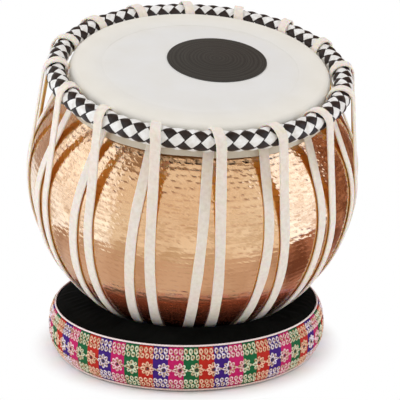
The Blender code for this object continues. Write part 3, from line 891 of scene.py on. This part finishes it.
def bowlLeg(slope):
    # places (radius, height) and facings from the base up to where the straight run starts
    leg = []
    for angle in np.linspace(baseAngle(), 90, 24):
        out = (math.sin(math.radians(angle)), -math.cos(math.radians(angle)))
        leg.append((bellyPoint(angle, strap["offset"]), out))
    leave = math.atan2(bowl["shoulder"] * math.sin(slope), bowl["belly"] * math.cos(slope))
    for angle in np.linspace(0.0, leave, 14)[1:]:
        leg.append((shoulderPoint(angle, strap["offset"]), tuple(shoulderNormal(angle))))
    return leg


def wrapRound(centre, reach, start, end):
    arc = []
    for turn in np.radians(np.linspace(start, end, 22)):
        out = (math.cos(turn), math.sin(turn))
        arc.append(((centre[0] + reach * out[0], centre[1] + reach * out[1]), (-out[0], -out[1])))
    return arc


def spreadOver(stations, start, end):
    # the angle round the drum changes in proportion to the distance along the strap
    travelled = lengthAlong([place for place, _ in stations])
    return [(*place, *facing, start + (end - start) * t / travelled[-1])
            for (place, facing), t in zip(stations, travelled)]


def strapRound():
    # up from the kundal, over the hoop and down again, for one hole of the head
    top = strap["spreadTop"] / 2
    bottom = 360 / strap["holes"] / 4
    innerSlope = tautLean(-1)
    outerSlope = tautLean(1)
    overHoop = wrapRound((plait["hoopRadius"], plait["hoopHeight"]), strap["hoopWrap"],
                         180 + math.degrees(innerSlope), math.degrees(outerSlope))
    rising = bowlLeg(innerSlope) + overHoop[:1]
    falling = overHoop[-1:] + [(place, (-out[0], -out[1])) for place, out in reversed(bowlLeg(outerSlope))]
    roundRing = wrapRound((kundal["radius"], -kundal["depth"]), kundal["wrap"], 290, 90)
    part = spreadOver(rising, -bottom, -top)
    part += spreadOver(overHoop, -top, top)[1:-1]
    part += spreadOver(falling, top, bottom)
    part += spreadOver(roundRing, bottom, 3 * bottom)
    return np.array(part)


def strapPath():
    # places, facings and widths at even steps along the whole strap, and its length
    radius, height, faceOut, faceUp, degrees = strapRound().T
    narrowing = np.clip((radius - kundal["radius"]) / strap["taper"], 0, 1)
    width = strap["endWidth"] + (strap["width"] - strap["endWidth"]) * narrowing
    places, facings = [], []
    for hole in range(strap["holes"]):
        around = np.radians(strap["firstHole"] + hole * 360 / strap["holes"] + degrees)
        places.append(polar(radius, around, height))
        facings.append(polar(faceOut, around, faceUp))
    widths = np.tile(width, strap["holes"])
    path = np.column_stack([np.concatenate(places), np.concatenate(facings), widths])
    path = np.vstack([path, path[:1]])
    travelled = lengthAlong(path[:, :3])
    count = round(travelled[-1] / strap["step"])
    marks = np.arange(count) * travelled[-1] / count
    path = np.stack([np.interp(marks, travelled, column) for column in path.T], 1)
    return path[:, :3], path[:, 3:6], path[:, 6], travelled[-1]


def strapLeather(length):
    # undyed lace leather: flat, chalky and finely fibrous along its length
    mat = newMaterial("undyed lace leather", "#E9E1D7", {
        "Roughness": 0.8, "Specular IOR Level": 0.3, "Subsurface Weight": 0.4,
        "Subsurface Radius": (1.0, 0.42, 0.14), "Subsurface Scale": 2.5 * mm,
    })
    streaks = addNode(mat, "Mapping", {
        "Vector": addNode(mat, "UVMap"),
        "Scale": (length / strap["streakLength"], strap["streaksAcross"], 1.0),
    })
    streak = addNode(mat, "TexNoise", {"Vector": streaks, "Scale": 1.0, "Detail": 5.0})
    tone = addNode(mat, "ValToRGB", {"Fac": streak}, stops=[(0.3, "#E5D8CB"), (0.62, "#EFE5DA")])
    # painted light: the side against the bowl is coloured warm for the light that the copper throws on it
    lee = addNode(mat, "Attribute", attribute_name="againstBowl", out="Fac")
    tone = addNode(mat, "Mix", {0: lee, 6: tone, 7: "#FFDA86"}, data_type="RGBA")
    nap = addNode(mat, "TexNoise", {"Vector": drumCoords(mat), "Scale": 1 / (0.8 * mm), "Detail": 3.0})
    bump = addNode(mat, "Bump", {"Height": nap, "Strength": 0.25, "Distance": 0.10 * mm})
    toShader(mat, Base_Color=tone, Normal=bump)
    return mat


def markInside(piece):
    # the faces of the strap that look at the bowl, below the skins, which get the painted copper light
    sides = {}
    for kind in ("center", "normal"):
        values = np.empty(len(piece.data.polygons) * 3)
        piece.data.polygons.foreach_get(kind, values)
        sides[kind] = values.reshape(-1, 3)
    centre, normal = sides["center"], sides["normal"]
    reach = reachAndAngle(centre)[0]
    outward = (normal[:, 0] * centre[:, 0] + normal[:, 1] * centre[:, 1]) / reach
    inside = (outward < -strap["insideSlope"]) & (centre[:, 2] < skins["kinarHem"])
    inside &= centre[:, 2] > -strap["insideDepth"]
    mark = piece.data.attributes.new("againstBowl", "FLOAT", "FACE")
    mark.data.foreach_set("value", inside.astype(float))


def makeStrap():
    places, facings, widths, length = strapPath()
    count = len(places)
    drift = np.zeros(count)
    for waves in strap["waves"]:
        drift += np.sin(math.tau * waves * np.arange(count) / count + chance.uniform(0, math.tau))
    widths = widths * (1 + strap["wander"] * drift)
    alongs = np.roll(places, -1, axis=0) - np.roll(places, 1, axis=0)
    sides = np.cross(alongs, facings)
    sides /= np.linalg.norm(sides, axis=1)[:, None]
    facings = np.cross(sides, alongs)
    facings /= np.linalg.norm(facings, axis=1)[:, None]
    # section: a flat strip with eased corners, as (share of width, share of thickness)
    ease = strap["corner"] / strap["width"]
    face = [(-0.5 + ease, -0.5), (-0.17, -0.5), (0.17, -0.5), (0.5 - ease, -0.5), (0.5, -0.2), (0.5, 0.2)]
    section = face + [(-across, -through) for across, through in face]
    section = np.array(section + section[:1])

    def shape(u, v):
        station = np.round(u * count).astype(int) % count
        corner = np.round(v * (len(section) - 1)).astype(int)
        across = section[corner, 0] * widths[station]
        through = section[corner, 1] * strap["thickness"]
        return places[station] + sides[station] * across[:, None] + facings[station] * through[:, None]

    piece = gridPiece("lacedStrap", count, len(section) - 1, shape)
    markInside(piece)
    finishPiece(piece, strapLeather(length), drumPlace, "drum", ["tasma_lace"], sharp=30)
    ring = twistedRing("kundalRing", kundal["radius"], -kundal["depth"], *kundal["cord"])
    rawhide = ropeFibre("twisted rawhide", "#B9A27C", "#8A7350", 2.0 * mm)
    finishPiece(ring, rawhide, drumPlace, "drum", ["kundal_ring"], sharp=80)
    print("strap made, length in metres", round(length, 2))


# ring cushion

cushion = {
    "radius": 123.5 * mm,
    "middle": 21.5 * mm,
    "fullness": 2.5,
    "seam": 40.8 * mm,
    "seamPull": 4.5 * mm,
    "foot": 4.0 * mm,
    "footPull": 6.0 * mm,
    "brow": (116.3 * mm, 43.8 * mm),
    "well": 55.0 * mm,
    "crest": 93.0 * mm,
    "crestRise": 1.6 * mm,
    # the crown outside the crest, in mm: radius, height above its top, share of the ring's own centre
    "crown": [(94.4, -0.5, 0.0), (96.4, 0.0, 0.0), (99.4, 0.1, 0.1), (103.0, -0.2, 0.3), (107.0, -0.8, 0.5),
              (110.6, -1.6, 0.7)],
    # from the crown down to the seam, in mm from the brow
    "fall": [(-2.5, 0.9, 0.9), (0.0, -0.2, 1.0), (1.7, -1.4, 1.0)],
    "seatRadius": 150.1 * mm,
    "gathers": 84,
    "gatherDepth": 0.12 * mm,
    "gathersFrom": 98.0 * mm,
    "gathersOver": 15.0 * mm,
    "columns": 504,
    # the stuffing pushes the cover up between the crest and the seam, no further than the cap
    "free": (96.8 * mm, 115.6 * mm),
    "pressure": 4.0,
    "spare": 0.03,
    "puffCap": 1.0 * mm,
    "settle": 20,
}


def sideReach(height):
    # the full side bulges most at the middle and is drawn in at the seam and at the foot
    above = np.clip((height - cushion["middle"]) / (cushion["seam"] - cushion["middle"]), 0, 1)
    below = np.clip((cushion["middle"] - height) / (cushion["middle"] - cushion["foot"]), 0, 1)
    return (cushion["radius"] - cushion["seamPull"] * above ** cushion["fullness"]
            - cushion["footPull"] * below ** cushion["fullness"])


def offSide(height, out):
    # (radius, height) of a place this far off the side, square to it
    slope = (sideReach(height + 0.1 * mm) - sideReach(height - 0.1 * mm)) / (0.2 * mm)
    length = np.hypot(1.0, slope)
    return sideReach(height) + out / length, height - out * slope / length


def seatHeight(radius):
    return pivot.z - math.sqrt(cushion["seatRadius"] ** 2 - radius ** 2)


def cushionSection():
    # (radius, height, share of the ring's own centre): inner loops stand under the drum
    well = cushion["well"]
    section = [(well + 3 * mm, 0.0, 0.0), (well + 1 * mm, 1 * mm, 0.0), (well, 3 * mm, 0.0)]
    section += [(r, seatHeight(r), 0.0) for r in np.linspace(well, cushion["crest"], 12)]
    top = seatHeight(cushion["crest"]) + cushion["crestRise"]
    section += [(r * mm, top + up * mm, share) for r, up, share in cushion["crown"]]
    browReach, browHeight = cushion["brow"]
    section += [(browReach + out * mm, browHeight + up * mm, share) for out, up, share in cushion["fall"]]
    section += [(sideReach(h), h, 1.0) for h in np.linspace(cushion["seam"], cushion["foot"], 14)]
    foot = sideReach(cushion["foot"])
    section += [(foot - 1 * mm, 1 * mm, 1.0), (foot - 4 * mm, 0.0, 1.0)]
    section += [(100 * mm, 0.0, 0.5), (80 * mm, 0.0, 0.2)]
    return section


def blackVelvet():
    # cotton velvet: deep black pile that only catches light at a grazing angle
    mat = newMaterial("black cotton velvet", "#0C0D0B", {
        "Roughness": 0.95, "Specular IOR Level": 0.04,
        "Sheen Weight": 0.02, "Sheen Roughness": 0.35, "Sheen Tint": "#8A8A92",
    })
    coords = addNode(mat, "TexCoord", out="Object")
    pile = addNode(mat, "TexNoise", {"Vector": coords, "Scale": 1 / (0.7 * mm), "Detail": 2.0})
    crush = addNode(mat, "TexNoise", {"Vector": coords, "Scale": 1 / (18 * mm), "Detail": 3.0})
    tone = addNode(mat, "ValToRGB", {"Fac": crush}, stops=[(0.35, "#090A08"), (0.7, "#10110F")])
    bump = addNode(mat, "Bump", {"Height": pile, "Strength": 0.6, "Distance": 0.25 * mm})
    toShader(mat, Base_Color=tone, Normal=bump)
    return mat


def stuff(piece):
    # cloth under pressure: the velvet over the crown is free, and the seat, side and base are held
    before = readPoints(piece)
    reach = reachAndAngle(before)[0]
    inner, outer = cushion["free"]
    held = (reach < inner) | (reach > outer) | (before[:, 2] < cushion["seam"])
    group = piece.vertex_groups.new(name="held")
    group.add(np.flatnonzero(held).tolist(), 1.0, "REPLACE")
    cloth = piece.modifiers.new("Stuffing", "CLOTH")
    cloth.settings.quality = 5
    cloth.settings.use_pressure = True
    cloth.settings.uniform_pressure_force = cushion["pressure"]
    cloth.settings.shrink_min = -cushion["spare"]
    cloth.settings.vertex_group_mass = group.name
    cloth.settings.effector_weights.gravity = 0.0
    for step in range(cushion["settle"]):
        bpy.context.scene.frame_set(step + 1)
    bpy.context.view_layer.objects.active = piece
    bpy.ops.object.modifier_apply(modifier=cloth.name)
    bpy.context.scene.frame_set(1)
    move = readPoints(piece) - before
    length = np.linalg.norm(move, axis=1)
    share = np.minimum(1.0, cushion["puffCap"] / np.maximum(length, 0.001 * mm))
    writePoints(piece, before + move * share[:, None])
    piece.vertex_groups.clear()
    print("cushion stuffed, the cover moved up to, in mm", round(length.max() / mm, 2))


def makeCushion():
    section = np.array(cushionSection())

    def shape(u, v):
        radius, height, share = onSection(section, v)
        around = u * math.tau
        # gathers: small folds that run in from the seam and die out towards the crest
        fold = np.sin(cushion["gathers"] * around + 1.7 * np.sin(5 * around))
        fold *= 0.6 + 0.4 * np.sin(9 * around + 1)
        near = np.clip((radius - cushion["gathersFrom"]) / cushion["gathersOver"], 0, 1)
        near *= height > cushion["seam"] + mm
        points = polar(radius, around, height - cushion["gatherDepth"] * (1 + fold) * near)
        points[:, 0] += (bandMiddle.x - pivot.x) * share
        points[:, 1] += (bandMiddle.y - pivot.y) * share
        return points

    piece = gridPiece("velvetCushion", cushion["columns"], len(section), shape)
    stuff(piece)
    finishPiece(piece, blackVelvet(), seatPlace, "cushion", ["cushion_ring"], sharp=80)
    print("cushion made")


# trim of the cushion

trim = {
    "bottom": 4.0 * mm,
    "top": 40.8 * mm,
    "stand": 0.6 * mm,
    "thickness": 1.2 * mm,
    "blocks": 60,
    "firstBlock": math.radians(254.65),
    "dyes": ["#0D6236", "#BA1E0C", "#3B1278", "#C20B60"],
    "threads": ["#E3EBD0", "#FBCDB2", "#F1E9F8", "#FCD3DE"],
    # thickness of the thread and of the finer stems, and how far off the ribbon they lie
    "thread": 1.25 * mm,
    "stem": 0.8 * mm,
    "off": 0.2 * mm,
    # each block has these rows of loops; the lower one of a pair is stepped along, with a stem up to it
    "loopsPerBlock": 3,
    "loopRows": [37.6 * mm, 32.9 * mm, 12.4 * mm, 7.8 * mm],
    "loopSize": (3.7 * mm, 4.3 * mm),
    "loopTips": (0.22, -0.30),
    "loopStep": 0.35,
    "loopStem": (1.0 * mm, 4.2 * mm, 0.9),
    "flowers": 56,
    "firstFlower": math.radians(221.22),
    "flowerHeight": 22.4 * mm,
    "flowerReach": 3.95 * mm,
    "petals": 8,
    "petalSize": (3.3 * mm, 4.6 * mm),
    "flowerStem": (1.0 * mm, 2.8 * mm, 0.8),
    "knot": 2.3 * mm,
    # how far each block of stitches strays from its place, along the band and up it
    "stray": (0.15, 0.12),
    # radius and height of each piping, then thickness, strands, pitch and columns of both
    "topPiping": (119.65 * mm, 42.3 * mm),
    "bottomPiping": (119.0 * mm, 2.3 * mm),
    "piping": (1.7 * mm, 3, 8 * mm, 960),
    # checks of one yarn of the weave, round the band and across it
    "yarns": (1400.0, 70.0),
}


def blockShare(mat):
    # how far along its repeat of coloured blocks a place on the band lies, from 0 to 1
    centred = addNode(mat, "Mapping", {
        "Vector": addNode(mat, "TexCoord", out="Object"), "Location": (-bandMiddle.x, -bandMiddle.y, 0.0),
    })
    split = addNode(mat, "SeparateXYZ", {"Vector": centred}).node.outputs
    angle = addNode(mat, "Math", {0: split["Y"], 1: split["X"]}, operation="ARCTAN2")
    repeat = math.tau * len(trim["dyes"]) / trim["blocks"]
    count = addNode(mat, "Math", {0: angle, 1: 1 / repeat, 2: -trim["firstBlock"] / repeat},
                    operation="MULTIPLY_ADD")
    return addNode(mat, "Math", {0: count}, operation="FRACT")


def inBlocks(mat, colours):
    # the colours in turn round the band, with hard edges
    stops = [(k / len(colours), colour) for k, colour in enumerate(colours)]
    blocks = addNode(mat, "ValToRGB", {"Fac": blockShare(mat)}, stops=stops)
    blocks.node.color_ramp.interpolation = "CONSTANT"
    return blocks


def wovenRibbon():
    # satin ribbon woven in dyed squares: green, red, purple and magenta in turn, fine cross threads
    mat = newMaterial("woven satin ribbon", trim["dyes"][0], {
        "Roughness": 0.65, "Specular IOR Level": 0.15,
    })
    coords = addNode(mat, "TexCoord", out="Object")
    fade = addNode(mat, "TexNoise", {"Vector": coords, "Scale": 1 / (3 * mm), "Detail": 4.0})
    worn = addNode(mat, "MapRange", {"Value": fade, "To Min": 0.75, "To Max": 1.2})
    tone = addNode(mat, "Mix", {0: 1.0, 6: inBlocks(mat, trim["dyes"]), 7: worn},
                   data_type="RGBA", blend_type="MULTIPLY")
    yarns = addNode(mat, "Mapping", {"Vector": addNode(mat, "UVMap"), "Scale": (*trim["yarns"], 1.0)})
    weave = addNode(mat, "TexChecker", {"Vector": yarns, "Scale": 1.0}, out="Fac")
    bump = addNode(mat, "Bump", {"Height": weave, "Strength": 0.4, "Distance": 0.12 * mm})
    toShader(mat, Base_Color=tone, Normal=bump)
    return mat


def rayonThread():
    # lustrous embroidery rayon: near white, in places gilt, tinted by the block that it is sewn on
    mat = newMaterial("embroidery rayon", trim["threads"][0], {"Roughness": 0.34})
    coords = addNode(mat, "TexCoord", out="Object")
    lots = addNode(mat, "TexNoise", {"Vector": coords, "Scale": 1 / (1.6 * mm), "Detail": 2.0})
    gilt = addNode(mat, "MapRange", {"Value": lots, "From Min": 0.44, "From Max": 0.60, "To Max": 0.95})
    tone = addNode(mat, "Mix", {0: gilt, 6: inBlocks(mat, trim["threads"]), 7: "#B98F5A"}, data_type="RGBA")
    turns = addNode(mat, "TexNoise", {"Vector": coords, "Scale": 1 / (0.5 * mm)})
    bump = addNode(mat, "Bump", {"Height": turns, "Strength": 0.5, "Distance": 0.15 * mm})
    toShader(mat, Base_Color=tone, Normal=bump)
    return mat


def pipingCord(name, colour, dark):
    # spun rayon cord: soft shine along the lay of the strands
    mat = newMaterial(name, colour, {"Roughness": 0.5, "Sheen Weight": 0.3})
    coords = addNode(mat, "TexCoord", out="Object")
    fibre = addNode(mat, "TexNoise", {"Vector": coords, "Scale": 1 / (0.9 * mm), "Detail": 3.0})
    tone = addNode(mat, "ValToRGB", {"Fac": fibre}, stops=[(0.35, dark), (0.6, colour)])
    bump = addNode(mat, "Bump", {"Height": fibre, "Strength": 0.3, "Distance": 0.1 * mm})
    toShader(mat, Base_Color=tone, Normal=bump)
    return mat


def loopStitch(x, z, width, height, turn, thread=trim["thread"]):
    # one turn of thread sewn down as an oval ring, flat on the ribbon: x along it, z up, y off it
    bpy.ops.mesh.primitive_torus_add(major_radius=0.5, minor_radius=0.13, major_segments=10,
                                     minor_segments=4)
    loop = bpy.context.object
    points = readPoints(loop)
    ring = reachAndAngle(points)[0]
    # the tube of the torus is 0.26 thick; the thread keeps its thickness however long the oval is
    swell = (ring - 0.5) / 0.26 * thread
    across = points[:, 0] / ring * (swell + 0.5 * (width - thread))
    up = points[:, 1] / ring * (swell + 0.5 * (height - thread))
    out = points[:, 2] * thread / 0.26
    writePoints(loop, np.stack([x + across * math.cos(turn) - up * math.sin(turn), out,
                                z + across * math.sin(turn) + up * math.cos(turn)], axis=1))
    return loop


def joinAll(pieces, name):
    dropSelection()
    for piece in pieces:
        piece.select_set(True)
    bpy.context.view_layer.objects.active = pieces[0]
    bpy.ops.object.join()
    pieces[0].name = name
    pieces[0].data.name = name
    return pieces[0]


def edgeStitches():
    # the stitches on one coloured square: two rows of loops at each edge, joined by slanting stems
    pitch = math.tau * cushion["radius"] / trim["blocks"] / trim["loopsPerBlock"]
    step = trim["loopStep"] * pitch
    stitches = []
    for row, height in enumerate(trim["loopRows"]):
        lower = row % 2
        for k in range(trim["loopsPerBlock"]):
            x = (k - 1) * pitch + lower * step
            stitches.append(loopStitch(x, height, *trim["loopSize"], trim["loopTips"][lower]))
            if lower:
                middle = (trim["loopRows"][row - 1] + height) / 2
                stitches.append(loopStitch(x - step, middle, *trim["loopStem"], trim["stem"]))
    return joinAll(stitches, "edgeStitches")


def flowerStitches():
    # a ring of petals, and a stem halfway to the next flower
    stitches = []
    for k in range(trim["petals"]):
        turn = math.tau * k / trim["petals"]
        x = trim["flowerReach"] * math.sin(turn)
        z = trim["flowerHeight"] + trim["flowerReach"] * math.cos(turn)
        stitches.append(loopStitch(x, z, *trim["petalSize"], -turn))
    half = math.pi * cushion["radius"] / trim["flowers"]
    stitches.append(loopStitch(half, trim["flowerHeight"], *trim["flowerStem"], trim["stem"]))
    return joinAll(stitches, "flowerStitches")


def sewRound(block, name, first, count, mat):
    # copies of a flat block of stitches laid round the band on the bulge of its side
    flat = readPoints(block)
    reach, height = offSide(flat[:, 2], trim["stand"] + trim["thickness"] + trim["off"] + flat[:, 1])
    strayAlong, strayUp = trim["stray"]
    copies = []
    for k in range(count):
        copy = block.copy()
        copy.data = block.data.copy()
        bpy.context.collection.objects.link(copy)
        along = (flat[:, 0] + chance.normal(0, strayAlong) * mm) / cushion["radius"]
        around = first + math.tau * k / count + along
        writePoints(copy, polar(reach, around, height + chance.normal(0, strayUp) * mm))
        copies.append(copy)
    bpy.data.objects.remove(block)
    sewn = joinAll(copies, name)
    finishPiece(sewn, mat, cushionPlace, "cushion", None, sharp=80)


def makeTrim():
    # the section runs up the face of the ribbon and down its back
    heights = np.linspace(trim["bottom"], trim["top"], 24)
    face = np.stack(offSide(heights, trim["stand"] + trim["thickness"]), 1)
    back = np.stack(offSide(heights, trim["stand"]), 1)[::-1]
    corners = np.vstack([face, back])

    def band(u, v):
        reach, height = onSection(corners, v)
        return polar(reach, u * math.tau, height)

    ribbon = gridPiece("ribbonBand", 480, len(corners), band)
    finishPiece(ribbon, wovenRibbon(), cushionPlace, "cushion", ["trim_band"])
    thread = rayonThread()
    firstSquare = trim["firstBlock"] + math.pi / trim["blocks"]
    sewRound(edgeStitches(), "ribbonStitches", firstSquare, trim["blocks"], thread)
    sewRound(flowerStitches(), "ribbonFlowers", trim["firstFlower"], trim["flowers"], thread)
    knot = loopStitch(0.0, trim["flowerHeight"], trim["knot"], trim["knot"], 0.0)
    silk = pipingCord("dark silk knot", "#3A1F14", "#1C100C")
    sewRound(knot, "flowerKnots", trim["firstFlower"], trim["flowers"], silk)
    pink = pipingCord("white pink rayon cord", "#FBF1EE", "#F3D3D2")
    gold = pipingCord("pale gold rayon cord", "#F6E3DC", "#DDB6A8")
    for name, cord, slot, node in (
        ("topPiping", pink, "pink_piping", "top_piping"),
        ("bottomPiping", gold, "gold_piping", "bottom_piping"),
    ):
        piping = twistedRing(name, *trim[name], *trim["piping"])
        finishPiece(piping, cord, cushionPlace, "cushion", [node], sharp=80)
    print("trim made")


setCamera()
setRoom()
makeBowl()
makeSkins()
makePlait()
makeStrap()
makeCushion()
makeTrim()
